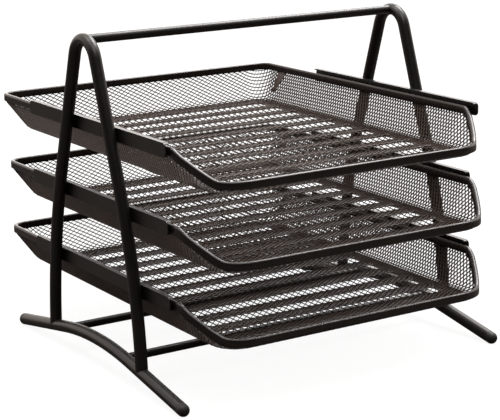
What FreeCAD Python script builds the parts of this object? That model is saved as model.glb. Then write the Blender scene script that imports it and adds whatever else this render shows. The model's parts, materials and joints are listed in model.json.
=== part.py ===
"""Three-tier metal letter tray with three trays that slide out to the front.

Millimetres. X is the width (+X to the right of someone facing the front), Y is
the depth (-Y is the open front, where the trays slide out), Z is up. The model is
built around the middle of the carrying frame. What is saved is moved along Y, so
that its origin is on the desk, under the middle of the whole object.
"""
import FreeCAD
import Part
import math
import os

Vector = FreeCAD.Vector

# Carrying frame: two bent side tubes, each welded on an arched foot tube.
FRAME_SPREAD = 284.0
FRAME_TUBE_DIAMETER = 9.5
FRAME_TUBE_WALL = 1.0
APEX_AXIS_HEIGHT = 254.7
APEX_BEND_RADIUS = 17.5
LEG_LEAN_DEG = 18.5
LEG_STRAIGHT_DROP = 105.0
LEG_BEND_RADIUS = 480.0
# The shaped lower ends of the legs have their thin tips ground off this far above the foot's axis.
LEG_END_ABOVE_FOOT_AXIS = 1.5

# Arched foot tubes.
FOOT_HALF_REACH = 137.3
FOOT_SLOPE_DEG = 9.93
FOOT_ARCH_RADIUS = 317.0

# Plastic plugs in the ends of the foot tubes.
PLUG_COLLAR = 3.0
PLUG_STEM_LENGTH = 9.0
PLUG_STEM_CLEARANCE = 0.1
PLUG_PAD_DEPTH = 0.4

# Bars that tie the two side frames together.
HANDLE_DIAMETER = 7.0
STRETCHER_DIAMETER = 6.5
STRETCHER_OFFSET = 46.0
# Their square ends are set this deep into the side tubes, where they are welded.
BAR_END_SEAT = 0.4

# Runners: sheet-metal channels, open to the inside, welded to the legs.
RUNNER_SHEET = 1.0
RUNNER_HEIGHT = 10.6
RUNNER_REAR = 112.0
RUNNER_CORNER_RADIUS = 3.5
# The top right runner is welded on this much further forward than the others. Its lower
# flange is cut back there, so that it still stops the tray at the same place.
TOP_RIGHT_RUNNER_FORWARD = 9.0

# Tray heights: the top edge of each rim above the desk.
TOP_RIM_HEIGHT = 189.95
TIER_PITCH = 56.2

# How far forward of its home stop each tray stands at rest.
TOP_TRAY_FORWARD = 0.0
MIDDLE_TRAY_FORWARD = 6.8
BOTTOM_TRAY_FORWARD = 5.8

# Tray rim: a strip folded to a channel that is open downwards.
RIM_HEIGHT = 6.0
RIM_WIDTH = 3.6
RIM_SHEET = 0.8
RIM_REAR = 181.5
RIM_BEND_START = -110.0
RIM_SLOPE_DEG = 33.5
RIM_BEND_RADIUS = 8.0
LIP_DROP = 21.2
LIP_FRONT = -154.5
LIP_BEND_RADIUS = 10.0

# Tray basket: pressed expanded metal, drawn as a sheet with a coarse grid of openings.
MESH_SHEET = 0.6
FLOOR_DROP = 30.3
WALL_FLARE = 15.0
BOTTOM_BEND_RADIUS = 8.0
BOTTOM_BEND_STEPS = 4
FRONT_RISE = 9.5
REAR_CORNER_RADIUS = 11.0
REAR_FLOOR_CORNER_RADIUS = 8.0
FRONT_CORNER_RADIUS = 50.0
FRONT_FLOOR_CORNER_RADIUS = 8.0

# Ribs pressed up across the floor.
RIB_COUNT = 10
RIB_PITCH = 26.8
FIRST_RIB_FROM_RIM_REAR = 47.5
RIB_HEIGHT = 3.3
RIB_BASE_WIDTH = 12.0
RIB_TOP_WIDTH = 8.4
RIB_END_MARGIN = 18.0

# Openings of the mesh, in the floor between the ribs and in the side and rear walls.
OPENING_COLUMNS = 12
OPENING_WEB = 3.6
OPENING_TO_RIB = 2.6
OPENING_TO_FLOOR_EDGE = 7.0
OPENING_TO_RIM = 2.5
OPENING_TO_BEND = 2.0

# Running clearances.
SIDE_CLEARANCE = 0.9
UNDER_RIM_CLEARANCE = 0.3
FLANGE_TO_MESH_CLEARANCE = 0.35
HOME_STOP_CLEARANCE = 0.3

# Sizes that follow from the ones above.
side_x = FRAME_SPREAD / 2
tube_radius = FRAME_TUBE_DIAMETER / 2
bore_radius = tube_radius - FRAME_TUBE_WALL
runner_web_x = side_x - tube_radius
rim_outer_x = runner_web_x - RUNNER_SHEET - SIDE_CLEARANCE
rim_middle_offset = RIM_WIDTH - RIM_SHEET - MESH_SHEET / 2
mesh_half_width = rim_outer_x - rim_middle_offset
mesh_rear = RIM_REAR - rim_middle_offset
mesh_front = LIP_FRONT + rim_middle_offset
rim_top_heights = {
    "top": TOP_RIM_HEIGHT,
    "middle": TOP_RIM_HEIGHT - TIER_PITCH,
    "bottom": TOP_RIM_HEIGHT - 2 * TIER_PITCH,
}
forward_shifts = {
    "top": TOP_TRAY_FORWARD,
    "middle": MIDDLE_TRAY_FORWARD,
    "bottom": BOTTOM_TRAY_FORWARD,
}
# The origin in Y: half way between the rearmost rim and the foremost lip.
middle_y = (RIM_REAR - min(forward_shifts.values()) + LIP_FRONT - max(forward_shifts.values())) / 2
SIDES = {"left": -1, "right": 1}
# Tools that trim a shape reach this far past it.
MARGIN = 5.0
# An angle that is looked for is narrowed down by halving this many times.
ANGLE_HALVINGS = 40


def save(name, shape):
    """Write one node around the object's own origin and say how large it is."""
    shape = shape.translated(Vector(0, -middle_y, 0))
    shape.exportStep(os.path.join("parts", name + ".step"))
    box = shape.BoundBox
    print(
        f"{name}: {len(shape.Solids)} solids, {shape.Volume / 1000:.2f} cm3, valid {shape.isValid()}, "
        f"x {box.XMin:.2f} {box.XMax:.2f}, y {box.YMin:.2f} {box.YMax:.2f}, z {box.ZMin:.2f} {box.ZMax:.2f}"
    )


def polar(radius, degrees):
    """A point in the YZ plane, with the angle measured from +Y towards +Z."""
    angle = math.radians(degrees)
    return Vector(0, radius * math.cos(angle), radius * math.sin(angle))


def arc(centre, radius, start_deg, end_deg):
    """An arc in the YZ plane from one angle to another."""
    middle_deg = (start_deg + end_deg) / 2
    points = [centre + polar(radius, degrees) for degrees in (start_deg, middle_deg, end_deg)]
    return Part.Arc(*points).toShape()


def block(x_range, y_range, z_range):
    """A box between the given limits."""
    lows, highs = zip(x_range, y_range, z_range)
    size = Vector(*highs) - Vector(*lows)
    return Part.makeBox(size.x, size.y, size.z, Vector(*lows))


def rod(start, end, radius):
    """A straight round bar between two points."""
    direction = end - start
    return Part.makeCylinder(radius, direction.Length, start, direction)


def bent_rod(centre, bend_radius, start_deg, end_deg, radius):
    """A round bar bent around a centre in the side view, from one angle to another."""
    start = centre + polar(bend_radius, start_deg)
    circle = Part.Circle(start, polar(1, start_deg + 90), radius).toShape()
    section = Part.Face(Part.Wire([circle]))
    return section.revolve(centre, Vector(1, 0, 0), end_deg - start_deg)


def mirrored_x(shape):
    return shape.mirror(Vector(0, 0, 0), Vector(1, 0, 0))


def mirrored_y(shape):
    return shape.mirror(Vector(0, 0, 0), Vector(0, 1, 0))


def side_frame_bar(radius):
    """A round bar along the axis of one side tube: up one leg, over the apex, down the other."""
    apex_centre = Vector(0, 0, APEX_AXIS_HEIGHT - APEX_BEND_RADIUS)
    apex = bent_rod(apex_centre, APEX_BEND_RADIUS, LEG_LEAN_DEG, 180 - LEG_LEAN_DEG, radius)
    shoulder = apex_centre + polar(APEX_BEND_RADIUS, LEG_LEAN_DEG)
    straight_end_z = APEX_AXIS_HEIGHT - LEG_STRAIGHT_DROP
    straight_run = (shoulder.z - straight_end_z) * math.tan(math.radians(LEG_LEAN_DEG))
    straight_end = Vector(0, shoulder.y + straight_run, straight_end_z)
    bend_centre = straight_end - polar(LEG_BEND_RADIUS, LEG_LEAN_DEG)
    lower_bend = bent_rod(bend_centre, LEG_BEND_RADIUS, leg_end_deg(bend_centre), LEG_LEAN_DEG, radius)
    leg = rod(shoulder, straight_end, radius).fuse(lower_bend)
    return apex.fuse([leg, mirrored_y(leg)]).removeSplitter()


def foot_arch_half_span():
    return FOOT_ARCH_RADIUS * math.sin(math.radians(FOOT_SLOPE_DEG))


def foot_dome_centre():
    """The centre of the plug's dome, which stands on its small flat pad."""
    return Vector(0, FOOT_HALF_REACH - tube_radius, tube_radius - PLUG_PAD_DEPTH)


def foot_tube_end():
    """The end of the foot tube's axis, one collar inside the dome's centre."""
    back = Vector(0, -math.cos(math.radians(FOOT_SLOPE_DEG)), math.sin(math.radians(FOOT_SLOPE_DEG)))
    return foot_dome_centre() + back * PLUG_COLLAR


def foot_axis_height(y):
    """The height of the foot tube's axis at a distance from the middle."""
    tip = foot_tube_end()
    half_span = foot_arch_half_span()
    slope = math.tan(math.radians(FOOT_SLOPE_DEG))
    if abs(y) >= half_span:
        return tip.z + (tip.y - abs(y)) * slope
    arch_end_z = tip.z + (tip.y - half_span) * slope
    end_depth = FOOT_ARCH_RADIUS * math.cos(math.radians(FOOT_SLOPE_DEG))
    return arch_end_z + math.sqrt(FOOT_ARCH_RADIUS ** 2 - y ** 2) - end_depth


def leg_end_deg(bend_centre):
    """The angle, around the leg's large bend, at which the leg ends just above the foot's axis."""
    lowest_deg = -LEG_LEAN_DEG
    highest_deg = LEG_LEAN_DEG
    for _ in range(ANGLE_HALVINGS):
        middle_deg = (lowest_deg + highest_deg) / 2
        point = bend_centre + polar(LEG_BEND_RADIUS, middle_deg)
        if point.z > foot_axis_height(point.y) + LEG_END_ABOVE_FOOT_AXIS:
            highest_deg = middle_deg
        else:
            lowest_deg = middle_deg
    return highest_deg


def foot_bar(radius):
    """A round bar along the axis of one foot tube: straight, arched in the middle, straight."""
    half_span = foot_arch_half_span()
    arch_end = Vector(0, half_span, foot_axis_height(half_span))
    arch_centre = Vector(0, 0, foot_axis_height(0) - FOOT_ARCH_RADIUS)
    arch = bent_rod(arch_centre, FOOT_ARCH_RADIUS, 90 - FOOT_SLOPE_DEG, 90 + FOOT_SLOPE_DEG, radius)
    straight = rod(arch_end, foot_tube_end(), radius)
    return arch.fuse([straight, mirrored_y(straight)]).removeSplitter()


def bar_places():
    """Where each bar meets the side tubes, in the side view, and its diameter."""
    stretcher_z = foot_axis_height(STRETCHER_OFFSET)
    return {
        "handle_bar": (0, APEX_AXIS_HEIGHT, HANDLE_DIAMETER),
        "stretcher_front": (-STRETCHER_OFFSET, stretcher_z, STRETCHER_DIAMETER),
        "stretcher_rear": (STRETCHER_OFFSET, stretcher_z, STRETCHER_DIAMETER),
    }


def build_frame_tubes():
    """The right side frame and foot, at X = 0, with the solid shapes of their outsides."""
    foot_outside = foot_bar(tube_radius)
    foot = foot_outside.cut(foot_bar(bore_radius))
    frame_outside = side_frame_bar(tube_radius)
    frame = frame_outside.cut(side_frame_bar(bore_radius)).cut(foot_outside)
    return frame, frame_outside, foot, foot_outside


def build_bar(y, z, diameter, right_tube_outside):
    """A round bar with square ends, set a little into the side tubes on both sides."""
    end_x = side_x - tube_radius + BAR_END_SEAT
    bar = rod(Vector(-end_x, y, z), Vector(end_x, y, z), diameter / 2)
    tube_outside = right_tube_outside.translated(Vector(side_x, 0, 0))
    return bar.cut(tube_outside).cut(mirrored_x(tube_outside))


def build_plug():
    """The rear plug of a foot tube at X = 0: collar, dome with a flat pad, and stem."""
    centre = foot_dome_centre()
    tube_end = foot_tube_end()
    outward = centre - tube_end
    outward.normalize()
    collar = rod(tube_end, centre, tube_radius)
    dome = Part.makeSphere(tube_radius, centre)
    stem_start = tube_end - outward * PLUG_STEM_LENGTH
    stem = rod(stem_start, centre, bore_radius - PLUG_STEM_CLEARANCE)
    inner_half = rod(tube_end - outward * FRAME_TUBE_DIAMETER, tube_end, FRAME_TUBE_DIAMETER)
    head = collar.fuse(dome.cut(inner_half))
    reach = 2 * FRAME_TUBE_DIAMETER
    below_desk = Part.makeBox(reach, reach, reach, Vector(-reach / 2, centre.y - reach / 2, -reach))
    return head.fuse(stem).removeSplitter().cut(below_desk)


def runner_bottom():
    """The runner's underside, measured from the top of the tray's rim."""
    return -RIM_HEIGHT - UNDER_RIM_CLEARANCE - RUNNER_SHEET


def runner_corner_run():
    """How far the inner face of a flange ends behind the runner's rounded end."""
    corner_rise = RUNNER_CORNER_RADIUS - RUNNER_SHEET
    return RUNNER_CORNER_RADIUS - math.sqrt(RUNNER_CORNER_RADIUS ** 2 - corner_rise ** 2)


def runner_front():
    """The front end, just behind where the rim's slope stops a tray that is pushed home."""
    slope = math.radians(RIM_SLOPE_DEG)
    slope_y = RIM_BEND_START + RIM_HEIGHT * math.tan(slope / 2) - UNDER_RIM_CLEARANCE / math.tan(slope)
    return slope_y + HOME_STOP_CLEARANCE / math.sin(slope) - runner_corner_run()


def runner_flange_inner_x():
    """The flanges stop short of the mesh, which leans inwards below the rim."""
    mesh_outside_x = mesh_half_width + MESH_SHEET / 2
    return mesh_outside_x + FLANGE_TO_MESH_CLEARANCE - UNDER_RIM_CLEARANCE * wall_slope()


def rounded_box_profile(y_low, y_high, z_low, z_high, radius, x):
    """A rectangle in the side view with rounded corners, as a face at one X."""
    corners = [(y_high, z_low, -90), (y_high, z_high, 0), (y_low, z_high, 90), (y_low, z_low, 180)]
    arcs = []
    for y, z, start_deg in corners:
        centre_y = y - radius if y == y_high else y + radius
        centre_z = z - radius if z == z_high else z + radius
        arcs.append(arc(Vector(x, centre_y, centre_z), radius, start_deg, start_deg + 90))
    edges = []
    for index, corner in enumerate(arcs):
        following = arcs[(index + 1) % len(arcs)]
        edges.append(corner)
        edges.append(Part.LineSegment(corner.lastVertex().Point, following.firstVertex().Point).toShape())
    return Part.Face(Part.Wire(Part.__sortEdges__(edges)))


def build_runner(rim_height, forward):
    """The right-hand runner of one tier, a channel that is open towards the tray.

    It can stand further forward, with its lower flange cut back to the common front end.
    """
    inner_x = runner_flange_inner_x()
    z_low = rim_height + runner_bottom()
    z_high = z_low + RUNNER_HEIGHT
    front = runner_front() - forward
    rear = RUNNER_REAR - forward
    profile = rounded_box_profile(front, rear, z_low, z_high, RUNNER_CORNER_RADIUS, inner_x)
    channel = profile.extrude(Vector(runner_web_x - inner_x, 0, 0))
    inside_web = (inner_x - MARGIN, runner_web_x - RUNNER_SHEET)
    groove_height = (z_low + RUNNER_SHEET, z_high - RUNNER_SHEET)
    channel = channel.cut(block(inside_web, (front - MARGIN, rear + MARGIN), groove_height))
    if forward:
        cut_back = (front - MARGIN, runner_front() + runner_corner_run())
        channel = channel.cut(block(inside_web, cut_back, (z_low - MARGIN, z_high - RUNNER_CORNER_RADIUS)))
    return channel


def wall_slope():
    """How far the tray wall leans out for each millimetre that it rises."""
    return WALL_FLARE / (FLOOR_DROP - RIM_HEIGHT)


def pan_levels(offset):
    """The levels of the pan's surface, at an offset outwards from the mesh's middle.

    Each level has its height, the inset of its sides and rear from the rim, and how
    far up the front and the corners have changed from floor to rim, from 0 to 1.
    """
    turn = math.pi / 2 - math.atan(wall_slope())
    bend_start_inset = WALL_FLARE + BOTTOM_BEND_RADIUS * math.tan(turn / 2)
    bend_centre_z = BOTTOM_BEND_RADIUS - FLOOR_DROP
    radius = BOTTOM_BEND_RADIUS + offset
    levels = []
    for step in range(BOTTOM_BEND_STEPS + 1):
        share = step / BOTTOM_BEND_STEPS
        angle = turn * share
        inset = bend_start_inset - radius * math.sin(angle)
        levels.append((bend_centre_z - radius * math.cos(angle), inset, share))
    levels.append((-RIM_HEIGHT, -offset, 1.0))
    levels.append((MARGIN, -offset, 1.0))
    return levels


def pan_outline(z, inset, front_share, offset):
    """One level of the pan: a closed outline with two small and two large corners."""
    full_inset = WALL_FLARE + BOTTOM_BEND_RADIUS
    rise_share = 1 - max(inset + offset, 0) / full_inset
    half_width = mesh_half_width - inset
    y_rear = mesh_rear - inset
    y_front = mesh_front + FRONT_RISE * (1 - front_share) - offset * front_share
    rear_radius = REAR_FLOOR_CORNER_RADIUS
    rear_radius += (REAR_CORNER_RADIUS - REAR_FLOOR_CORNER_RADIUS) * rise_share + offset
    front_radius = FRONT_FLOOR_CORNER_RADIUS
    front_radius += (FRONT_CORNER_RADIUS - FRONT_FLOOR_CORNER_RADIUS) * rise_share + offset
    corners = [
        (half_width, y_rear, rear_radius, 0),
        (-half_width, y_rear, rear_radius, 90),
        (-half_width, y_front, front_radius, 180),
        (half_width, y_front, front_radius, 270),
    ]
    arcs = [corner_arc(x, y, z, radius, start_deg) for x, y, radius, start_deg in corners]
    edges = []
    for index, corner in enumerate(arcs):
        following = arcs[(index + 1) % len(arcs)]
        edges.append(corner)
        edges.append(Part.LineSegment(corner.lastVertex().Point, following.firstVertex().Point).toShape())
    return Part.Wire(edges)


def corner_arc(x, y, z, radius, start_deg):
    """A quarter of a circle that rounds the corner at (x, y) of a level outline."""
    centre_x = x - math.copysign(radius, x)
    centre_y = y - radius if start_deg < 180 else y + radius
    points = []
    for degrees in (start_deg, start_deg + 45, start_deg + 90):
        angle = math.radians(degrees)
        points.append(Vector(centre_x + radius * math.cos(angle), centre_y + radius * math.sin(angle), z))
    return Part.Arc(*points).toShape()


def pan_solid(offset):
    """Everything inside the pan's surface at one offset from the mesh's middle."""
    outlines = [pan_outline(z, inset, share, offset) for z, inset, share in pan_levels(offset)]
    return Part.makeLoft(outlines, True, True)


def edge_line(depth):
    """The tray's top edge in the side view, moved down into the tray by a depth.

    It runs from behind the tray, level along the side, down the slope and along the lip.
    """
    slope = math.radians(RIM_SLOPE_DEG)
    half_turn = math.tan(slope / 2)
    upper_radius = RIM_BEND_RADIUS - depth
    lower_radius = LIP_BEND_RADIUS + depth
    upper_bend = Vector(0, RIM_BEND_START + depth * half_turn, -depth)
    lower_y = RIM_BEND_START - LIP_DROP / math.tan(slope) + depth * half_turn
    lower_bend = Vector(0, lower_y, -LIP_DROP - depth)
    down_slope = Vector(0, -math.cos(slope), -math.sin(slope))
    rear_end = Vector(0, RIM_REAR + MARGIN, -depth)
    front_end = Vector(0, LIP_FRONT - MARGIN, -LIP_DROP - depth)
    upper_start = upper_bend + Vector(0, upper_radius * half_turn, 0)
    upper_centre = upper_start - Vector(0, 0, upper_radius)
    upper_end = upper_bend + down_slope * (upper_radius * half_turn)
    lower_start = lower_bend - down_slope * (lower_radius * half_turn)
    lower_end = lower_bend - Vector(0, lower_radius * half_turn, 0)
    lower_centre = lower_end + Vector(0, 0, lower_radius)
    return [
        Part.LineSegment(rear_end, upper_start).toShape(),
        arc(upper_centre, upper_radius, 90, 90 + RIM_SLOPE_DEG),
        Part.LineSegment(upper_end, lower_start).toShape(),
        arc(lower_centre, lower_radius, 270 + RIM_SLOPE_DEG, 270),
        Part.LineSegment(lower_end, front_end).toShape(),
    ]


def strip(upper_depth, lower_edges):
    """The side-view region between an edge line and a lower boundary, across the tray."""
    upper = edge_line(upper_depth)
    upper_rear = upper[0].firstVertex().Point
    upper_front = upper[-1].lastVertex().Point
    lower_rear = lower_edges[0].firstVertex().Point
    lower_front = lower_edges[-1].lastVertex().Point
    ends = [
        Part.LineSegment(upper_rear, lower_rear).toShape(),
        Part.LineSegment(upper_front, lower_front).toShape(),
    ]
    wire = Part.Wire(Part.__sortEdges__(upper + lower_edges + ends))
    reach = rim_outer_x + MARGIN
    face = Part.Face(wire).translated(Vector(-reach, 0, 0))
    return face.extrude(Vector(2 * reach, 0, 0))


def below_floor_line():
    """A level line under the whole tray, as the lower boundary of a strip."""
    z = -FLOOR_DROP - MARGIN
    rear = Vector(0, RIM_REAR + MARGIN, z)
    front = Vector(0, LIP_FRONT - MARGIN, z)
    return [Part.LineSegment(rear, front).toShape()]


def build_rim():
    """The rim in its home position, with the top edge of its sides at Z = 0."""
    outer_offset = rim_middle_offset
    inner_offset = outer_offset - RIM_WIDTH
    groove_outer = outer_offset - RIM_SHEET
    groove_inner = inner_offset + RIM_SHEET
    body = pan_solid(outer_offset).cut(pan_solid(inner_offset))
    body = body.common(strip(0, edge_line(RIM_HEIGHT)))
    groove = pan_solid(groove_outer).cut(pan_solid(groove_inner))
    groove = groove.common(strip(RIM_SHEET, below_floor_line()))
    return body.cut(groove)


def rib_block(y, inset, low, high):
    """A block with sloping flanks and ends, the outside or the inside of one rib."""
    half_length = mesh_half_width - WALL_FLARE - RIB_END_MARGIN - inset
    half_base = RIB_BASE_WIDTH / 2 - inset
    flank = (RIB_BASE_WIDTH - RIB_TOP_WIDTH) / 2
    outlines = []
    for z, narrowing in ((low, 0), (high, flank)):
        x = half_length - narrowing
        half = half_base - narrowing
        corners = [(x, half), (-x, half), (-x, -half), (x, -half), (x, half)]
        outlines.append(Part.makePolygon([Vector(cx, y + cy, z) for cx, cy in corners]))
    return Part.makeLoft(outlines, True, True)


def rib_places():
    """The middle line of each rib, from the rear to the front."""
    return [RIM_REAR - FIRST_RIB_FROM_RIM_REAR - index * RIB_PITCH for index in range(RIB_COUNT)]


def spread(low, high):
    """Equal openings with webs between them, as (start, end) pairs from low to high."""
    pitch = (high - low + OPENING_WEB) / OPENING_COLUMNS
    starts = [low + index * pitch for index in range(OPENING_COLUMNS)]
    return [(start, start + pitch - OPENING_WEB) for start in starts]


def floor_openings(floor_half_width, floor_rear, floor_front):
    """Blocks that cut the rows of openings behind, between and in front of the ribs."""
    beside_rib = RIB_BASE_WIDTH / 2 + OPENING_TO_RIB
    rows = []
    row_rear = floor_rear - OPENING_TO_FLOOR_EDGE
    for y in rib_places():
        rows.append((y + beside_rib, row_rear))
        row_rear = y - beside_rib
    rows.append((floor_front + OPENING_TO_FLOOR_EDGE, row_rear))
    reach = floor_half_width - OPENING_TO_FLOOR_EDGE
    z_range = (-FLOOR_DROP - MESH_SHEET, -FLOOR_DROP + MESH_SHEET)
    return [block(column, row, z_range) for row in rows for column in spread(-reach, reach)]


def wall_openings(floor_half_width, floor_rear, bend_top):
    """Blocks that cut a row of openings in both side walls and one in the rear wall."""
    z_range = (bend_top + OPENING_TO_BEND, -RIM_HEIGHT - OPENING_TO_RIM)
    front = RIM_BEND_START + OPENING_TO_FLOOR_EDGE
    across = (-mesh_half_width - MARGIN, mesh_half_width + MARGIN)
    sides = [block(across, column, z_range) for column in spread(front, floor_rear - OPENING_TO_FLOOR_EDGE)]
    reach = floor_half_width - OPENING_TO_FLOOR_EDGE
    behind = (floor_rear, mesh_rear + MARGIN)
    return sides + [block(column, behind, z_range) for column in spread(-reach, reach)]


def basket_openings():
    """All the blocks that cut the openings of the mesh."""
    levels = pan_levels(0)
    floor_inset = levels[0][1]
    bend_top = levels[BOTTOM_BEND_STEPS][0]
    floor_half_width = mesh_half_width - floor_inset
    floor_rear = mesh_rear - floor_inset
    floor_front = mesh_front + FRONT_RISE
    cutters = floor_openings(floor_half_width, floor_rear, floor_front)
    return cutters + wall_openings(floor_half_width, floor_rear, bend_top)


def build_basket():
    """The pressed basket in its home position, with its ribs standing up in the floor."""
    half_sheet = MESH_SHEET / 2
    basket = pan_solid(half_sheet).cut(pan_solid(-half_sheet))
    basket = basket.common(strip(RIM_SHEET, below_floor_line()))
    rib_tops = -FLOOR_DROP + half_sheet + RIB_HEIGHT
    outsides = []
    insides = []
    for y in rib_places():
        outsides.append(rib_block(y, 0, -FLOOR_DROP, rib_tops))
        below = -FLOOR_DROP - half_sheet
        insides.append(rib_block(y, MESH_SHEET, below, rib_tops - MESH_SHEET))
    basket = basket.fuse(outsides)
    return basket.cut(Part.makeCompound(insides + basket_openings()))


os.makedirs("parts", exist_ok=True)

frame, frame_outside, foot, foot_outside = build_frame_tubes()
plug = build_plug()
for side, sign in SIDES.items():
    to_side = Vector(side_x, 0, 0)
    placed = {
        "side_frame": frame.translated(to_side),
        "foot_tube": foot.translated(to_side),
        "end_plug_rear": plug.translated(to_side),
        "end_plug_front": mirrored_y(plug).translated(to_side),
    }
    for tier, rim_height in rim_top_heights.items():
        forward = TOP_RIGHT_RUNNER_FORWARD if (tier, side) == ("top", "right") else 0
        placed["runner_" + tier] = build_runner(rim_height, forward)
    for name, shape in placed.items():
        save(f"{name}_{side}", shape if sign > 0 else mirrored_x(shape))

for name, (y, z, diameter) in bar_places().items():
    outside = frame_outside if name == "handle_bar" else foot_outside
    save(name, build_bar(y, z, diameter, outside))

rim = build_rim()
basket = build_basket()
for tier, rim_height in rim_top_heights.items():
    to_tier = Vector(0, -forward_shifts[tier], rim_height)
    save("tray_rim_" + tier, rim.translated(to_tier))
    save("tray_basket_" + tier, basket.translated(to_tier))
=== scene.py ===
# %% [markdown]
# # A three-tier metal letter tray
# This scene dresses a letter tray made of bent steel tube, folded strip and expanded
# mesh. The stand stays as it was modelled and gets its powder coat here. The three
# trays are drawn again in finer detail: a mesh of real diamonds and a rounded rim.
# One tray is made once, in its home place, and a copy of it rides on each tier.

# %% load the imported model
import json
import math
import bpy
from mathutils import Matrix, Vector


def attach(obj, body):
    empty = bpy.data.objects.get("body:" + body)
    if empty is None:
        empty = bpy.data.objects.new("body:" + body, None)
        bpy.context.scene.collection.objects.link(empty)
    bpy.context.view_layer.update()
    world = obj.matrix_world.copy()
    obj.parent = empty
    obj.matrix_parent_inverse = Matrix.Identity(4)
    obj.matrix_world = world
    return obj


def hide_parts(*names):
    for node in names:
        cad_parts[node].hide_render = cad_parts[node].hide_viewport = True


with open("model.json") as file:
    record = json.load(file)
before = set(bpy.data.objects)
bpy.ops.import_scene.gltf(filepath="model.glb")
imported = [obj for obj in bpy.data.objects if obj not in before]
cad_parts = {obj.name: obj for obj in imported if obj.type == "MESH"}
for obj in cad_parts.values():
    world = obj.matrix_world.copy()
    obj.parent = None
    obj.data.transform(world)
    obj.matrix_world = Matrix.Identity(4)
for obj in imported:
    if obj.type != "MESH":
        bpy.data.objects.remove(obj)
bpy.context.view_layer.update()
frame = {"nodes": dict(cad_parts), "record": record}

# %% [markdown]
# ## Sizes of a tray
# All sizes are in millimetres. Heights are measured from the top edge of the rim, and
# depths from the middle between the legs, which lies MIDDLE_Y in front of the origin.
# A tray is a dish with a flat floor, a rounded bend all round and walls that lean out.
# Its rim is level along the sides, drops to the front and ends in a low lip. A few named
# sizes say all of that. They are easier to correct than points placed by hand, and the
# mesh and the rim both follow from them.

# %% sizes of the dish
MM = 0.001
MIDDLE_Y = 10.1
MESH_HALF_WIDTH = 132.85
MESH_REAR = 179.0
MESH_FRONT = -152.0
FLOOR_Z = -30.3
RIM_BAND = 6.0
WALL_FLARE = 15.0
BEND_RADIUS = 8.0
FRONT_RISE = 9.5
REAR_FLOOR_CORNER, REAR_RIM_CORNER = 8.0, 11.0
FRONT_FLOOR_CORNER, FRONT_RIM_CORNER = 8.0, 50.0
wall_lean = WALL_FLARE / (-FLOOR_Z - RIM_BAND)
bend_turn = math.pi / 2 - math.atan(wall_lean)
bend_length = BEND_RADIUS * bend_turn
bend_inset = WALL_FLARE + BEND_RADIUS * math.tan(bend_turn / 2)
bend_top_z = FLOOR_Z + BEND_RADIUS * (1 - math.cos(bend_turn))
wall_length = (-RIM_BAND - bend_top_z) * math.hypot(1, wall_lean)
print("up the wall:", round(bend_length, 2), "+", round(wall_length, 2), "mm")

# %% sizes of the rim line in the side view
SLOPE_START_Y = -110.0
SLOPE = math.radians(33.5)
LIP_DROP = 21.2
UPPER_RADIUS, LOWER_RADIUS = 8.0, 10.0
RIM_WIDTH, RIM_SHEET, RIM_OUTSIDE = 3.6, 0.8, 2.5
tray_places = {"top": (0.0, 189.95), "middle": (6.8, 133.75), "bottom": (5.8, 77.55)}


def edge_height(y):
    """Height of the rim's top edge at a depth y: level, rounded, sloping, rounded, level."""
    upper_run = UPPER_RADIUS * math.tan(SLOPE / 2)
    lower_run = LOWER_RADIUS * math.tan(SLOPE / 2)
    lip_y = SLOPE_START_Y - LIP_DROP / math.tan(SLOPE)
    if y >= SLOPE_START_Y + upper_run:
        return 0.0
    if y >= SLOPE_START_Y - upper_run * math.cos(SLOPE):
        into = SLOPE_START_Y + upper_run - y
        return math.sqrt(UPPER_RADIUS ** 2 - into ** 2) - UPPER_RADIUS
    if y >= lip_y + lower_run * math.cos(SLOPE):
        return (y - SLOPE_START_Y) * math.tan(SLOPE)
    if y >= lip_y - lower_run:
        into = y - lip_y + lower_run
        return LOWER_RADIUS - math.sqrt(LOWER_RADIUS ** 2 - into ** 2) - LIP_DROP
    return -LIP_DROP


print("edge at the bend and the lip:", edge_height(SLOPE_START_Y), edge_height(MESH_FRONT))

# %% [markdown]
# ## The surface of the dish
# The real dish is pressed between two dies. It could be sculpted or made of patches.
# Here it is a stack of levels instead, because a level is a simple thing: a rectangle
# with rounded corners, which grows from the floor to the rim. The wall is followed by
# the distance that one walks up it from the floor, as a ruler laid on the sheet would.

# %% levels of the dish
def wall_height(walked):
    """Height reached after walking some way up the wall from the floor's edge."""
    if walked <= bend_length:
        return FLOOR_Z + BEND_RADIUS * (1 - math.cos(walked / BEND_RADIUS))
    if walked <= bend_length + wall_length:
        return bend_top_z + (walked - bend_length) / math.hypot(1, wall_lean)
    return -RIM_BAND + walked - bend_length - wall_length


def walk_to_height(z):
    """How far up the wall a height lies."""
    if z <= bend_top_z:
        return BEND_RADIUS * math.acos(1 - max(z - FLOOR_Z, 0) / BEND_RADIUS)
    if z <= -RIM_BAND:
        return bend_length + (z - bend_top_z) * math.hypot(1, wall_lean)
    return bend_length + wall_length + z + RIM_BAND


def level(walked):
    """Half width, rear, front, rear corner radius and front corner radius of a level."""
    z = wall_height(walked)
    if walked <= bend_length:
        inset = bend_inset - BEND_RADIUS * math.sin(walked / BEND_RADIUS)
    else:
        inset = max(-RIM_BAND - z, 0) * wall_lean
    front_share = min(walked / bend_length, 1)
    rise_share = 1 - inset / (WALL_FLARE + BEND_RADIUS)
    return (
        MESH_HALF_WIDTH - inset,
        MESH_REAR - inset,
        MESH_FRONT + FRONT_RISE * (1 - front_share),
        REAR_FLOOR_CORNER + (REAR_RIM_CORNER - REAR_FLOOR_CORNER) * rise_share,
        FRONT_FLOOR_CORNER + (FRONT_RIM_CORNER - FRONT_FLOOR_CORNER) * rise_share,
    )


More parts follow.
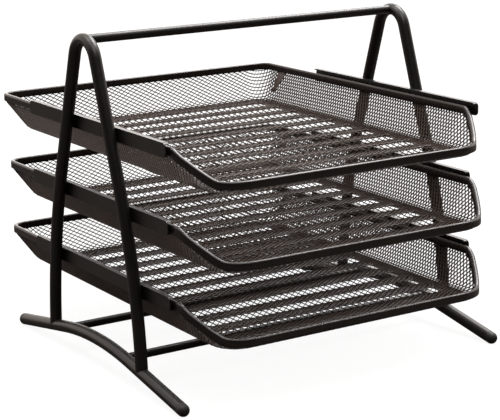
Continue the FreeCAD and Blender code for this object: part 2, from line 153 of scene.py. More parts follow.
def around_corner(along, start, radius, corner):
    """A point some way along a straight, its corner and the next straight."""
    straight = abs(corner[1] - start) - radius
    quarter = radius * math.pi / 2
    toward = math.copysign(1, corner[1] - start)
    if along <= straight:
        return corner[0], start + toward * along
    if along <= straight + quarter:
        turned = (along - straight) / radius
        centre = (corner[0] - radius, corner[1] - toward * radius)
        return centre[0] + radius * math.cos(turned), centre[1] + toward * radius * math.sin(turned)
    return corner[0] - radius - (along - straight - quarter), corner[1]


floor_level = level(0)
rim_level = level(bend_length + wall_length)
print("floor level:", [round(v, 2) for v in floor_level])
print("rim level:", [round(v, 2) for v in rim_level])

# %% [markdown]
# The flat sheet of mesh is laid over the dish from its floor outwards. A point of the
# sheet that lies past the floor's edge goes up the wall by the same distance. At the
# corners the sheet follows the outline of the level that it has reached. A projection
# from above would be shorter to write, but it would stretch the diamonds of the walls.

# %% laying the sheet over the dish
UNDER_EDGE = 1.0
TIMES_MEASURED = 4
SLACK = 1e-6
rear_zone_y = floor_level[1] - floor_level[3]
rear_zone_x = floor_level[0] - floor_level[3]
front_zone_y = rim_level[2] + rim_level[4]
front_zone_x = rim_level[0] - rim_level[4]
front_corner_y = floor_level[2] + floor_level[4]
front_corner_x = floor_level[0] - floor_level[4]


def rear_share(x, y):
    """Past the floor's rear corner: distance outside it and share of the way round."""
    out = math.hypot(x - rear_zone_x, y - rear_zone_y)
    return out - floor_level[3], math.atan2(y - rear_zone_y, x - rear_zone_x) / (math.pi / 2)


def front_share(x, y):
    """Near the floor's front corner: distance outside the floor and share of the way round."""
    side_run = front_zone_y - front_corner_y
    arc_run = floor_level[4] * math.pi / 2
    front_run = front_corner_x - front_zone_x
    if y >= front_corner_y:
        out, along = x - floor_level[0], front_zone_y - y
    elif x <= front_corner_x:
        out, along = floor_level[2] - y, side_run + arc_run + front_corner_x - x
    else:
        turned = math.atan2(front_corner_y - y, x - front_corner_x)
        out = math.hypot(x - front_corner_x, y - front_corner_y) - floor_level[4]
        along = side_run + floor_level[4] * turned
    return out, along / (side_run + arc_run + front_run)


def zone_point(walked, share, rear):
    """A point of the wall in a corner's zone, a share of the way round at its level."""
    half, y_rear, y_front, r_rear, r_front = level(walked)
    if rear:
        start_y, start_x, corner_y, radius = rear_zone_y, rear_zone_x, y_rear, r_rear
    else:
        start_y, start_x, corner_y, radius = front_zone_y, front_zone_x, y_front, r_front
    total = abs(corner_y - start_y) - 2 * radius + half - start_x + radius * math.pi / 2
    return around_corner(share * total, start_y, radius, (half, corner_y))


def lay(x, y, floor_z):
    """Where a point of the flat sheet comes to lie on the dish."""
    side = math.copysign(1, x)
    x = abs(x)
    corner = None
    if x > rear_zone_x and y > rear_zone_y:
        out, share = rear_share(x, y)
        corner = True
    elif y < front_zone_y and x > front_zone_x and (x > front_corner_x or y < floor_level[2]):
        out, share = front_share(x, y)
        corner = False
    else:
        out = max(x - floor_level[0], y - floor_level[1], floor_level[2] - y)
    if out <= 0:
        return side * x, y, floor_z
    walked = out
    for _ in range(TIMES_MEASURED):
        if corner is not None:
            px, py = zone_point(walked, share, corner)
        elif x - floor_level[0] == out:
            px, py = level(walked)[0], y
        elif y - floor_level[1] == out:
            px, py = x, level(walked)[1]
        else:
            px, py = x, level(walked)[2]
        highest = walk_to_height(edge_height(py) - UNDER_EDGE)
        if walked <= highest + SLACK:
            break
        walked = highest
    return side * px, py, wall_height(walked)


print("a corner of the sheet lands at", [round(v, 1) for v in lay(130, 176, FLOOR_Z)])

# %% [markdown]
# ## The diamonds of the mesh
# Expanded metal is a sheet that is slit and drawn out, which leaves diamonds, here
# longer across the tray than along it. A picture of mesh on a plain sheet would look
# flat against the light, so every diamond is a real hole. Ten ribs are pressed up across
# the floor. The sheet is stretched over them, so that one row of diamonds stands on each
# flank. These rows let the light through, and from the front they look like stripes.

# %% sizes of the mesh
DIAMOND_LONG = 5.9
DIAMOND_SHORT = 3.839
STRAND_WIDTH = 0.36
STRAND_LEAN = 0.25
SHEET = 0.8
RIB_COUNT = 10
RIB_PITCH = 26.8
FIRST_RIB_Y = 134.0
RIB_HEIGHT = 3.3
RIB_FLANK = 1.8
RIB_HALF_BASE = 6.0
RIB_END_X = 99.85
flank_length = math.hypot(RIB_HEIGHT, RIB_FLANK)
pitch_in_sheet = RIB_PITCH + 2 * (flank_length - RIB_FLANK)
diamonds_per_rib = pitch_in_sheet / DIAMOND_SHORT


def rib_profile(from_rib):
    """Depth and height where the sheet lies, a distance in the sheet from a rib's middle."""
    sign = math.copysign(1, from_rib)
    walked = abs(from_rib)
    half_top = RIB_HALF_BASE - RIB_FLANK
    if walked <= half_top:
        return from_rib, RIB_HEIGHT
    if walked <= half_top + flank_length:
        share = (walked - half_top) / flank_length
        return sign * (half_top + share * RIB_FLANK), RIB_HEIGHT * (1 - share)
    return sign * (walked - flank_length + RIB_FLANK), 0.0


def sheet_to_depth(v, x):
    """Depth y and height above the floor for a distance v in the sheet."""
    ribs_done = min(max(round(v / pitch_in_sheet), 0), RIB_COUNT - 1)
    from_rib = v - ribs_done * pitch_in_sheet
    shift, height = rib_profile(from_rib)
    ribbed = ribs_done * RIB_PITCH + shift
    if abs(from_rib) <= pitch_in_sheet / 2:
        even = v * RIB_PITCH / pitch_in_sheet
    else:
        even = ribs_done * RIB_PITCH + math.copysign(
            abs(from_rib) - pitch_in_sheet / 2 + RIB_PITCH / 2, from_rib
        )
    blend = min(max((abs(x) - RIB_END_X + RIB_FLANK) / RIB_FLANK, 0), 1)
    return FIRST_RIB_Y - ribbed * (1 - blend) - even * blend, height * (1 - blend)


print("one rib in the sheet:", round(pitch_in_sheet, 2), "mm =", round(diamonds_per_rib, 2), "diamonds")

# %% the diamonds as one sheet of four-sided faces
SHEET_HALF_WIDTH = 150
SHEET_BEHIND_FIRST_RIB = 75
SHEET_AHEAD_OF_FIRST_RIB = 330
ROWS_LEFT_OUT = 3
BELOW_EDGE = 2.5
ABOVE_RIBS = 0.2
SMALLEST_DIAMOND = 2.0


def diamond_sheet():
    """Points and diamonds of the whole sheet, laid over the dish in its home place."""
    half_long = DIAMOND_LONG / 2
    half_short = DIAMOND_SHORT / 2
    columns = int(SHEET_HALF_WIDTH / half_long)
    first_row = -int(SHEET_BEHIND_FIRST_RIB / half_short)
    last_row = int(SHEET_AHEAD_OF_FIRST_RIB / half_short)
    phase = RIB_HALF_BASE - RIB_FLANK
    places = {}
    for row in range(first_row, last_row + 1):
        for column in range(-columns, columns + 1):
            if (row + column) % 2:
                continue
            x = column * half_long
            y, rise = sheet_to_depth(phase + row * half_short, x)
            places[column, row] = lay(x, y, FLOOR_Z + rise)
    points, leans, numbers, floor_faces, wall_faces = [], [], {}, [], []
    for row in range(first_row + ROWS_LEFT_OUT, last_row + 1 - ROWS_LEFT_OUT):
        for column in range(-columns + 1, columns):
            if (row + column) % 2 == 0:
                continue
            keys = [(column + 1, row), (column, row - 1), (column - 1, row), (column, row + 1)]
            corners = [places[key] for key in keys]
            if min(z - edge_height(y) for _, y, z in corners) > -BELOW_EDGE:
                continue
            if wall_closed(corners):
                continue
            for key in keys:
                if key not in numbers:
                    numbers[key] = len(points)
                    points.append(places[key])
                    leans.append(strand_lean(places, key))
            face = [numbers[key] for key in keys]
            on_floor = all(z < FLOOR_Z + RIB_HEIGHT + ABOVE_RIBS for _, _, z in corners)
            (floor_faces if on_floor else wall_faces).append(face)
    return points, leans, floor_faces, wall_faces


def strand_lean(places, key):
    """How far the upper side of the strands lies behind their lower side, as a vector."""
    column, row = key
    to_rear = Vector(places[column, row - 2]) - Vector(places[column, row + 2])
    return to_rear.normalized() * STRAND_LEAN


def wall_closed(corners):
    """Whether a diamond has been squeezed to almost nothing under the rim."""
    a, b, c, d = (Vector(p) for p in corners)
    return (a - c).cross(b - d).length / 2 < SMALLEST_DIAMOND


sheet_points, sheet_leans, floor_faces, wall_faces = diamond_sheet()
print("diamonds:", len(floor_faces), "on the floor,", len(wall_faces), "on the walls")


# %% [markdown]
# ## Materials
# Everything that is steel has a satin powder coat, almost black with a trace of brown.
# The coat has the fine pebbled skin of baked powder, and thin spots on it shine a little
# more. One plain dark colour would look like a drawing, so noise clouds the colour,
# varies the sheen and raises the pebbles. The noise follows the object's own place, so it
# doesn't swim when a tray slides. The plugs are dull moulded plastic.

# %% helper for node materials
def new_material(name):
    """An empty material and shortcuts to add and join its nodes."""
    material = bpy.data.materials.new(name)
    material.use_nodes = True
    nodes = material.node_tree.nodes
    nodes.clear()
    links = material.node_tree.links
    return material, nodes, links


def add(nodes, kind, **values):
    """Add a node and set its unlinked inputs by name."""
    node = nodes.new(kind)
    for name, value in values.items():
        node.inputs[name.replace("_", " ")].default_value = value
    return node


def ramp(nodes, low, low_color, high, high_color):
    """A colour ramp with two stops."""
    node = nodes.new("ShaderNodeValToRGB")
    node.color_ramp.elements[0].position = low
    node.color_ramp.elements[0].color = low_color
    node.color_ramp.elements[1].position = high
    node.color_ramp.elements[1].color = high_color
    return node


def coat(name, dark, light, roughness_low, roughness_high, grain, bump_mm):
    """A dark coat with cloudy colour, uneven sheen and a pebbled skin."""
    material, nodes, links = new_material(name)
    place = nodes.new("ShaderNodeTexCoord")
    clouds = add(nodes, "ShaderNodeTexNoise", Scale=28.0, Detail=4.0, Roughness=0.6)
    pebbles = add(nodes, "ShaderNodeTexNoise", Scale=grain, Detail=2.0, Roughness=0.5)
    specks = add(nodes, "ShaderNodeTexVoronoi", Scale=grain * 0.45)
    colour = ramp(nodes, 0.3, (*dark, 1), 0.72, (*light, 1))
    sheen = nodes.new("ShaderNodeMapRange")
    sheen.inputs["To Min"].default_value = roughness_low
    sheen.inputs["To Max"].default_value = roughness_high
    heights = nodes.new("ShaderNodeMath")
    heights.operation = "ADD"
    bump = add(nodes, "ShaderNodeBump", Strength=0.6, Distance=bump_mm * MM)
    shader = add(nodes, "ShaderNodeBsdfPrincipled", IOR=1.48)
    output = nodes.new("ShaderNodeOutputMaterial")
    for texture in (clouds, pebbles, specks):
        links.new(place.outputs["Object"], texture.inputs["Vector"])
    links.new(clouds.outputs["Fac"], colour.inputs["Fac"])
    links.new(colour.outputs["Color"], shader.inputs["Base Color"])
    links.new(pebbles.outputs["Fac"], sheen.inputs["Value"])
    links.new(sheen.outputs["Result"], shader.inputs["Roughness"])
    links.new(pebbles.outputs["Fac"], heights.inputs[0])
    links.new(specks.outputs["Distance"], heights.inputs[1])
    links.new(heights.outputs["Value"], bump.inputs["Height"])
    links.new(bump.outputs["Normal"], shader.inputs["Normal"])
    links.new(shader.outputs["BSDF"], output.inputs["Surface"])
    return material


frame_coat = coat("frame_coat", (0.0055, 0.005, 0.004), (0.010, 0.009, 0.0072), 0.30, 0.44, 900.0, 0.04)
rim_coat = coat("rim_coat", (0.012, 0.0090, 0.0078), (0.020, 0.015, 0.013), 0.22, 0.34, 900.0, 0.025)
# The frame, rim and mesh wear one near-black powder coat. The mesh's copy is made lighter and browner,
# which is partly painted light that its strands catch from above.
mesh_coat = coat("mesh_coat", (0.034, 0.021, 0.016), (0.060, 0.038, 0.029), 0.34, 0.50, 1300.0, 0.03)
plug_plastic = coat("plug_plastic", (0.011, 0.010, 0.009), (0.016, 0.014, 0.013), 0.5, 0.66, 600.0, 0.03)
print("materials:", [m.name for m in (frame_coat, rim_coat, mesh_coat, plug_plastic)])

# %% [markdown]
# ## The stand
# The tubes, bars, runners and plugs keep the shapes of the model, because these already
# have their real bends and walls. They only get the coat of their material slot.

# %% coat the stand
materials = {
    "frame_coat": frame_coat,
    "rim_coat": rim_coat,
    "mesh_coat": mesh_coat,
    "plug_plastic": plug_plastic,
}
slot_of_node = {entry["node"]: entry["material_slot"] for entry in frame["record"]["subparts"]}
for name, node in frame["nodes"].items():
    node.data.materials.clear()
    node.data.materials.append(materials[slot_of_node[name]])
print("coated:", len(frame["nodes"]), "nodes")


# %% [markdown]
# ## Cutting the diamonds out
# Each face of the sheet becomes a diamond-shaped hole between four strands. Thousands
# of holes are too many to cut one by one, so a node tree does it to all at once. Every
# face gets a smaller copy of itself, which is then taken away. What is left is thickened.
# The strands of expanded metal are twisted when the sheet is drawn out, so the upper
# side of each is moved to the rear. From the front, the floor then looks closed and the
# rear wall open.

# %% node tree that perforates a sheet
WELD_DISTANCE = 0.005


def perforating_tree():
    """Geometry nodes: inset each face, delete the inset faces, thicken and lean the rest."""
    tree = bpy.data.node_groups.new("perforate", "GeometryNodeTree")
    tree.interface.new_socket("Geometry", in_out="INPUT", socket_type="NodeSocketGeometry")
    hole = tree.interface.new_socket("Hole size", in_out="INPUT", socket_type="NodeSocketFloat")
    thick = tree.interface.new_socket("Thickness", in_out="INPUT", socket_type="NodeSocketFloat")
    coat_in = tree.interface.new_socket("Coat", in_out="INPUT", socket_type="NodeSocketMaterial")
    tree.interface.new_socket("Geometry", in_out="OUTPUT", socket_type="NodeSocketGeometry")
    nodes, links = tree.nodes, tree.links
    source = nodes.new("NodeGroupInput")
    result = nodes.new("NodeGroupOutput")
    inset = nodes.new("GeometryNodeExtrudeMesh")
    inset.mode = "FACES"
    inset.inputs["Offset Scale"].default_value = 0.0
    inset.inputs["Individual"].default_value = True
    shrink = nodes.new("GeometryNodeScaleElements")
    shrink.domain = "FACE"
    cut = nodes.new("GeometryNodeDeleteGeometry")
    cut.domain = "FACE"
    normal = nodes.new("GeometryNodeInputNormal")
    half = nodes.new("ShaderNodeMath")
    half.operation = "MULTIPLY"
    half.inputs[1].default_value = -0.5
    back = nodes.new("ShaderNodeVectorMath")
    back.operation = "SCALE"
    lower = nodes.new("GeometryNodeSetPosition")
    raise_up = nodes.new("GeometryNodeExtrudeMesh")
    raise_up.mode = "FACES"
    raise_up.inputs["Individual"].default_value = False
    lean = nodes.new("GeometryNodeInputNamedAttribute")
    lean.data_type = "FLOAT_VECTOR"
    lean.inputs["Name"].default_value = "lean"
    push_back = nodes.new("GeometryNodeSetPosition")
    flip = nodes.new("GeometryNodeFlipFaces")
    join = nodes.new("GeometryNodeJoinGeometry")
    weld = nodes.new("GeometryNodeMergeByDistance")
    weld.inputs["Distance"].default_value = WELD_DISTANCE * MM
    realize = nodes.new("GeometryNodeRealizeInstances")
    paint = nodes.new("GeometryNodeSetMaterial")
    links.new(source.outputs["Geometry"], inset.inputs["Mesh"])
    links.new(inset.outputs["Mesh"], shrink.inputs["Geometry"])
    links.new(inset.outputs["Top"], shrink.inputs["Selection"])
    links.new(source.outputs["Hole size"], shrink.inputs["Scale"])
    links.new(shrink.outputs["Geometry"], cut.inputs["Geometry"])
    links.new(inset.outputs["Top"], cut.inputs["Selection"])
    links.new(source.outputs["Thickness"], half.inputs[0])
    links.new(normal.outputs["Normal"], back.inputs[0])
    links.new(half.outputs["Value"], back.inputs["Scale"])
    links.new(cut.outputs["Geometry"], lower.inputs["Geometry"])
    links.new(back.outputs["Vector"], lower.inputs["Offset"])
    links.new(lower.outputs["Geometry"], raise_up.inputs["Mesh"])
    links.new(source.outputs["Thickness"], raise_up.inputs["Offset Scale"])
    links.new(lower.outputs["Geometry"], flip.inputs["Mesh"])
    links.new(raise_up.outputs["Mesh"], push_back.inputs["Geometry"])
    links.new(raise_up.outputs["Top"], push_back.inputs["Selection"])
    links.new(lean.outputs["Attribute"], push_back.inputs["Offset"])
    links.new(push_back.outputs["Geometry"], join.inputs["Geometry"])
    links.new(flip.outputs["Mesh"], join.inputs["Geometry"])
    links.new(join.outputs["Geometry"], weld.inputs["Geometry"])
    links.new(weld.outputs["Geometry"], realize.inputs["Geometry"])
    links.new(realize.outputs["Geometry"], paint.inputs["Geometry"])
    links.new(source.outputs["Coat"], paint.inputs["Material"])
    links.new(paint.outputs["Geometry"], result.inputs["Geometry"])
    return tree, hole.identifier, thick.identifier, coat_in.identifier


perforate, hole_socket, thickness_socket, coat_socket = perforating_tree()
print("perforating tree:", len(perforate.nodes), "nodes")


# %% helpers that make and place meshes
def plain_object(name, points, faces):
    """A mesh object from points in millimetres."""
    mesh = bpy.data.meshes.new(name)
    mesh.from_pydata([(x * MM, (y - MIDDLE_Y) * MM, z * MM) for x, y, z in points], [], faces)
    mesh.update()
    made = bpy.data.objects.new(name, mesh)
    bpy.context.scene.collection.objects.link(made)
    return made


def perforated_mesh(name, points, leans, faces, hole_share):
    """The sheet's faces turned into strands, as a plain mesh."""
    used = sorted({number for face in faces for number in face})
    renumber = {number: index for index, number in enumerate(used)}
    faces = [[renumber[number] for number in face] for face in faces]
    sheet = plain_object(name + "_sheet", [points[number] for number in used], faces)
    lean = sheet.data.attributes.new("lean", "FLOAT_VECTOR", "POINT")
    for index, number in enumerate(used):
        lean.data[index].vector = leans[number] * MM
    modifier = sheet.modifiers.new("perforate", "NODES")
    modifier.node_group = perforate
    modifier[hole_socket] = hole_share
    modifier[thickness_socket] = SHEET * MM
    modifier[coat_socket] = mesh_coat
    graph = bpy.context.evaluated_depsgraph_get()
    mesh = bpy.data.meshes.new_from_object(sheet.evaluated_get(graph))
    mesh.name = name
    mesh.attributes.remove(mesh.attributes["lean"])
    bpy.data.objects.remove(sheet)
    return mesh


def place_on_trays(label, mesh, replaced):
    """A copy of a tray piece for each tier, riding on that tier's tray."""
    for tier, (forward, height) in tray_places.items():
        copy = mesh.copy()
        copy.transform(Matrix.Translation((0, -forward * MM, height * MM)))
        piece = bpy.data.objects.new(f"{label}_{tier}", copy)
        bpy.context.scene.collection.objects.link(piece)
        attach(piece, tier + "_tray")
        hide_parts(f"{replaced}_{tier}")
    print(label, "triangles each:", sum(len(p.vertices) - 2 for p in mesh.polygons))


# %% mesh floors and walls
diamond_side = math.hypot(DIAMOND_LONG, DIAMOND_SHORT) / 2
diamond_inside = DIAMOND_LONG * DIAMOND_SHORT / 4 / diamond_side
hole_share = 1 - STRAND_WIDTH / 2 / diamond_inside
floor_mesh = perforated_mesh("mesh_floor", sheet_points, sheet_leans, floor_faces, hole_share)
place_on_trays("mesh_floor", floor_mesh, "tray_basket")
wall_mesh = perforated_mesh("mesh_walls", sheet_points, sheet_leans, wall_faces, hole_share)
place_on_trays("mesh_walls", wall_mesh, "tray_basket")

# %% [markdown]
# ## The rims
# A rim is a strip folded over the top edge of the mesh. Its section has a rounded top,
# two legs and an open underside. A curve with a bevel could carry such a section, but it
# would turn about itself on the slope. Here the section travels once round the dish along
# the rim line, always square to the line, and leans with the wall.

# %% points along the rim line
RIM_STEPS = {"rear": 6, "rear_corner": 10, "side": 60, "front_corner": 24, "front": 8}
CORRECTIONS = 30
CORRECTION = 0.7
DOWN_STEP = 1.0


def rim_stations():
    """Half of the rim line as (run, share) pairs, from the middle of the rear to the front."""
    stations = []
    for run, count in RIM_STEPS.items():
        stations += [(run, index / count) for index in range(count)]
    return stations + [("front", 1.0)]


def wall_point(run, share, z):
    """A point of the dish at a height, on one run of its outline."""
    half, y_rear, y_front, r_rear, r_front = level(walk_to_height(z))
    angle = share * math.pi / 2
    if run == "rear":
        return Vector((share * (half - r_rear), y_rear, z))
    if run == "rear_corner":
        centre_x, centre_y = half - r_rear, y_rear - r_rear
        return Vector((centre_x + r_rear * math.sin(angle), centre_y + r_rear * math.cos(angle), z))
    if run == "side":
        start, end = y_rear - r_rear, y_front + r_front
        return Vector((half, start + (end - start) * share, z))
    if run == "front_corner":
        centre_x, centre_y = half - r_front, y_front + r_front
        return Vector((centre_x + r_front * math.cos(angle), centre_y - r_front * math.sin(angle), z))
    return Vector(((half - r_front) * (1 - share), y_front, z))


def on_rim_line(run, share):
    """The point where the dish meets the rim line."""
    z = 0.0
    for _ in range(CORRECTIONS):
        z += (edge_height(wall_point(run, share, z).y) - z) * CORRECTION
    return wall_point(run, share, z), wall_point(run, share, z - DOWN_STEP)


def rim_line():
    """Points of the whole closed rim line, each with the direction down the wall."""
    half = [on_rim_line(run, share) for run, share in rim_stations()]
    line = [(point, lower - point) for point, lower in half]
    mirrored = [
        (Vector((-point.x, point.y, point.z)), Vector((-down.x, down.y, down.z)))
        for point, down in reversed(line[1:-1])
    ]
    return line + mirrored


line = rim_line()
print("points round the rim:", len(line))


# %% [markdown]
# ## The dart
# The flat sheet has too much width for the rear right corner. It is slit there, and its
# edge is tucked over itself in a dart of close strands, which leans and narrows downwards.
# Its rows of small diamonds are placed on the side wall and go through the same node tree.

# %% the dart in the rear right corner
DART_COLUMNS, DART_ROWS = 8, 10
DART_TOP, DART_ROW_STEP = -5.5, 1.7
DART_WIDTH, DART_NARROWING = 13.0, 0.8
DART_FROM_CORNER, DART_DRIFT = 18.0, 1.0
DART_FROM_WALL = 0.9
DART_HOLE_SHARE = 0.2


def dart():
    """Points and small diamonds of the dart, just inside the side wall."""
    points = []
    for row in range(DART_ROWS + 1):
        z = DART_TOP - DART_ROW_STEP * row
        half, y_rear, _, r_rear, _ = level(walk_to_height(z))
        width = DART_WIDTH - DART_NARROWING * row
        middle = y_rear - r_rear - DART_FROM_CORNER + DART_DRIFT * row
        for column in range(DART_COLUMNS + 1):
            across = (column / DART_COLUMNS - 0.5) * width
            points.append(Vector((half - DART_FROM_WALL, middle + across, z)))
    faces = []
    in_row = DART_COLUMNS + 1
    for row in range(1, DART_ROWS):
        for column in range(1, DART_COLUMNS):
            if (row + column) % 2 == 0:
                centre = row * in_row + column
                faces.append([centre + 1, centre - in_row, centre - 1, centre + in_row])
    return points, faces


dart_points, dart_faces = dart()
no_lean = [Vector((0, 0, 0))] * len(dart_points)
dart_places = [tuple(point) for point in dart_points]
dart_mesh = perforated_mesh("mesh_dart", dart_places, no_lean, dart_faces, DART_HOLE_SHARE)
place_on_trays("mesh_dart", dart_mesh, "tray_basket")


# %% [markdown]
# ## Sweeping the rim
# The section is a list of points, each so far outwards and so far down. At every point
# of the rim line it is turned square to the line, and neighbouring sections are joined
# by faces. The ring closes on itself, so it needs no ends.

# %% the section of the rim and its sweep
RIM_ROUNDING = 1.5
ROUNDING_STEPS = 6
RIM_BEVEL = 0.15
INNER_BEVEL = 0.5
LEG_MIDDLE = 3.2


def rim_section():
    """Closed outline of the folded strip: (distance outwards, distance down)."""
    outside, inside = RIM_OUTSIDE, RIM_OUTSIDE - RIM_WIDTH
    outline = [(outside, RIM_BAND - RIM_BEVEL), (outside, LEG_MIDDLE)]
    for centre, start in ((outside - RIM_ROUNDING, 0), (inside + RIM_ROUNDING, 90)):
        for step in range(ROUNDING_STEPS):
            angle = math.radians(start + step * 90 / (ROUNDING_STEPS - 1))
            out = centre + RIM_ROUNDING * math.cos(angle)
            outline.append((out, RIM_ROUNDING - RIM_ROUNDING * math.sin(angle)))
    outline += [(inside, LEG_MIDDLE), (inside, RIM_BAND - RIM_BEVEL), (inside + RIM_BEVEL, RIM_BAND)]
    outline += [(inside + RIM_SHEET, RIM_BAND), (inside + RIM_SHEET, RIM_ROUNDING)]
    outline += [(inside + RIM_SHEET + INNER_BEVEL, RIM_SHEET)]
    outline += [(outside - RIM_SHEET - INNER_BEVEL, RIM_SHEET)]
    outline += [(outside - RIM_SHEET, RIM_ROUNDING), (outside - RIM_SHEET, RIM_BAND)]
    return outline + [(outside - RIM_BEVEL, RIM_BAND)]


def sweep_rim():
    """Points and faces of the rim in its home place."""
    section = rim_section()
    count = len(line)
    points, faces = [], []
    for index, (point, down) in enumerate(line):
        ahead = line[(index + 1) % count][0] - line[index - 1][0]
        ahead.normalize()
        down = (down - ahead * down.dot(ahead)).normalized()
        outward = down.cross(ahead).normalized()
        for out, depth in section:
            points.append(point + outward * out + down * depth)
    size = len(section)
    for index in range(count):
        following = (index + 1) % count
        for step in range(size):
            after = (step + 1) % size
            near = [index * size + step, index * size + after]
            faces.append(near + [following * size + after, following * size + step])
    return points, faces


rim_points, rim_faces = sweep_rim()
rim_object = plain_object("rim_shape", [tuple(p) for p in rim_points], rim_faces)
rim_mesh = rim_object.data
bpy.data.objects.remove(rim_object)
for polygon in rim_mesh.polygons:
    polygon.use_smooth = True
rim_mesh.materials.append(rim_coat)
place_on_trays("rim", rim_mesh, "tray_rim")
rim_depths = [point.y for point in rim_points]
print("rim from depth", round(min(rim_depths), 2), "to", round(max(rim_depths), 2), "mm")

# %% [markdown]
# ## Camera, light and ground
# The stand is seen from the left front corner, a little from above, through a long lens.
# The camera's turn is built from its three angles, because it also leans a little.

# %% camera
LENS, SENSOR_WIDTH, FARTHEST = 120.0, 36.0, 20.0
CAMERA_PLACE = (-0.6912, -1.1159, 0.4235)
CAMERA_DEGREES = (32.007, 13.768, -1.064)
PICTURE_SIZE = (500, 420)
camera_data = bpy.data.cameras.new("camera")
camera_data.lens = LENS
camera_data.sensor_width = SENSOR_WIDTH
camera_data.clip_end = FARTHEST
camera = bpy.data.objects.new("camera", camera_data)
bpy.context.scene.collection.objects.link(camera)
yaw, pitch, roll = (math.radians(v) for v in CAMERA_DEGREES)
forward = Vector((math.sin(yaw) * math.cos(pitch), math.cos(yaw) * math.cos(pitch), -math.sin(pitch)))
level_right = Vector((math.cos(yaw), -math.sin(yaw), 0))
level_up = level_right.cross(forward)
right = level_right * math.cos(roll) + level_up * math.sin(roll)
up = level_up * math.cos(roll) - level_right * math.sin(roll)
turned = Matrix((right, up, -forward)).transposed().to_4x4()
camera.matrix_world = Matrix.Translation(CAMERA_PLACE) @ turned
bpy.context.scene.camera = camera
bpy.context.scene.render.resolution_x, bpy.context.scene.render.resolution_y = PICTURE_SIZE
print("camera at", [round(v, 3) for v in camera.location])

# %% [markdown]
# The ground is white to the camera, and keeps a soft shadow. It isn't made white with
# more light, because that would also wash out the dark metal. Instead the camera's rays
# meet a ground that glows by itself, and all other rays meet a dull one.

# %% ground
GROUND_REACH = 6.0
GLOW, GLOW_SHARE = 1.08, 0.84


def ground_material():
    """White ground that keeps a soft shadow, and that the dark metal reflects dimly."""
    material, nodes, links = new_material("ground")
    place = nodes.new("ShaderNodeTexCoord")
    grain = add(nodes, "ShaderNodeTexNoise", Scale=60.0, Detail=3.0)
    colour = ramp(nodes, 0.3, (0.93, 0.93, 0.925, 1), 0.7, (0.95, 0.95, 0.945, 1))
    matt = add(nodes, "ShaderNodeBsdfDiffuse", Roughness=0.8)
    glow = add(nodes, "ShaderNodeEmission", Strength=GLOW)
    seen = add(nodes, "ShaderNodeMixShader", Fac=GLOW_SHARE)
    dull = add(nodes, "ShaderNodeBsdfDiffuse", Color=(0.08, 0.072, 0.067, 1))
    rays = nodes.new("ShaderNodeLightPath")
    choice = nodes.new("ShaderNodeMixShader")
    output = nodes.new("ShaderNodeOutputMaterial")
    links.new(place.outputs["Object"], grain.inputs["Vector"])
    links.new(grain.outputs["Fac"], colour.inputs["Fac"])
    links.new(colour.outputs["Color"], matt.inputs["Color"])
    links.new(matt.outputs["BSDF"], seen.inputs[1])
    links.new(glow.outputs["Emission"], seen.inputs[2])
    links.new(rays.outputs["Is Camera Ray"], choice.inputs["Fac"])
    links.new(dull.outputs["BSDF"], choice.inputs[1])
    links.new(seen.outputs["Shader"], choice.inputs[2])
    links.new(choice.outputs["Shader"], output.inputs["Surface"])
    return material


ground_mesh = bpy.data.meshes.new("ground")
corner_signs = ((-1, -1), (1, -1), (1, 1), (-1, 1))
ground_corners = [(x * GROUND_REACH, y * GROUND_REACH, 0) for x, y in corner_signs]
ground_mesh.from_pydata(ground_corners, [], [[0, 1, 2, 3]])
ground = bpy.data.objects.new("ground", ground_mesh)
bpy.context.scene.collection.objects.link(ground)
ground.data.materials.append(ground_material())
print("ground:", GROUND_REACH * 2, "m square")

# %% [markdown]
# Dark satin metal shows its shape mostly through what it mirrors. Four soft lamps draw
# lines of light along the tubes and rims, and the world is a bright wall behind and to
# the right, and a dark room elsewhere. An even grey world would turn the coat to felt.

# %% light
LAMP_TARGET = (0, 0, 0.12)
LAMPS = {
    "key": ((-0.5, 0.5, 1.9), 0.9, 12.0),
    "front": ((-0.25, -0.8, 1.6), 0.9, 9.0),
    "overhead": ((0.9, 0.35, 1.6), 0.9, 38.0),
    "back": ((1.5, 2.4, 1.0), 1.6, 16.0),
}


def area_light(name, place, target, size, power):
    """A square soft light that faces a target."""
    data = bpy.data.lights.new(name, "AREA")
    data.size = size
    data.energy = power
    lamp = bpy.data.objects.new(name, data)
    lamp.location = place
    lamp.rotation_euler = (Vector(target) - Vector(place)).to_track_quat("-Z", "Y").to_euler()
    bpy.context.scene.collection.objects.link(lamp)
    return lamp


for lamp_name, (lamp_place, lamp_size, lamp_power) in LAMPS.items():
    area_light(lamp_name, lamp_place, LAMP_TARGET, lamp_size, lamp_power)
print("lights:", list(LAMPS))


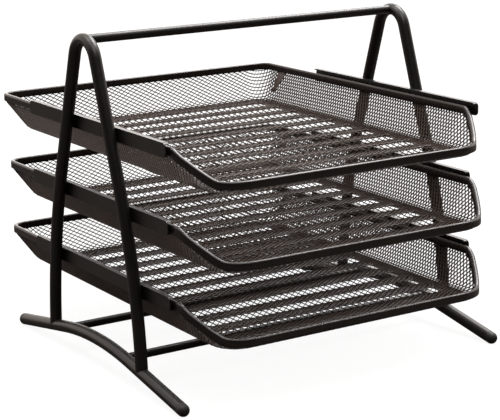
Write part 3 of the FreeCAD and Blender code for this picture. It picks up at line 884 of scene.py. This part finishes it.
# %% world
RIGHT_SHARE = 0.45
WALL_STARTS, WALL_FULL = 0.1, 0.7
ROOM_STRENGTH, WALL_STRENGTH = 0.03, 1.3


def studio_world():
    """White to the camera. To the metal, a warm wall behind and to the right, and a dark room."""
    world = bpy.data.worlds.new("studio")
    world.use_nodes = True
    nodes = world.node_tree.nodes
    links = world.node_tree.links
    nodes.clear()
    rays = nodes.new("ShaderNodeLightPath")
    direction = nodes.new("ShaderNodeTexCoord")
    parts = nodes.new("ShaderNodeSeparateXYZ")
    upper = nodes.new("ShaderNodeMath")
    upper.operation = "ADD"
    righter = nodes.new("ShaderNodeMath")
    righter.operation = "MULTIPLY_ADD"
    righter.inputs[1].default_value = RIGHT_SHARE
    wall = nodes.new("ShaderNodeMapRange")
    wall.interpolation_type = "SMOOTHSTEP"
    wall.inputs["From Min"].default_value = WALL_STARTS
    wall.inputs["From Max"].default_value = WALL_FULL
    wall.inputs["To Min"].default_value = ROOM_STRENGTH
    wall.inputs["To Max"].default_value = WALL_STRENGTH
    white = add(nodes, "ShaderNodeBackground", Color=(1, 1, 1, 1), Strength=1.0)
    room = add(nodes, "ShaderNodeBackground", Color=(1.0, 0.89, 0.82, 1))
    mixed = nodes.new("ShaderNodeMixShader")
    sky = nodes.new("ShaderNodeOutputWorld")
    links.new(direction.outputs["Generated"], parts.inputs["Vector"])
    links.new(parts.outputs["Y"], upper.inputs[0])
    links.new(parts.outputs["Z"], upper.inputs[1])
    links.new(parts.outputs["X"], righter.inputs[0])
    links.new(upper.outputs["Value"], righter.inputs[2])
    links.new(righter.outputs["Value"], wall.inputs["Value"])
    links.new(wall.outputs["Result"], room.inputs["Strength"])
    links.new(rays.outputs["Is Camera Ray"], mixed.inputs["Fac"])
    links.new(room.outputs["Background"], mixed.inputs[1])
    links.new(white.outputs["Background"], mixed.inputs[2])
    links.new(mixed.outputs["Shader"], sky.inputs["Surface"])
    return world


bpy.context.scene.world = studio_world()
bpy.context.scene.view_settings.view_transform = "Standard"
print("world:", bpy.context.scene.world.name)
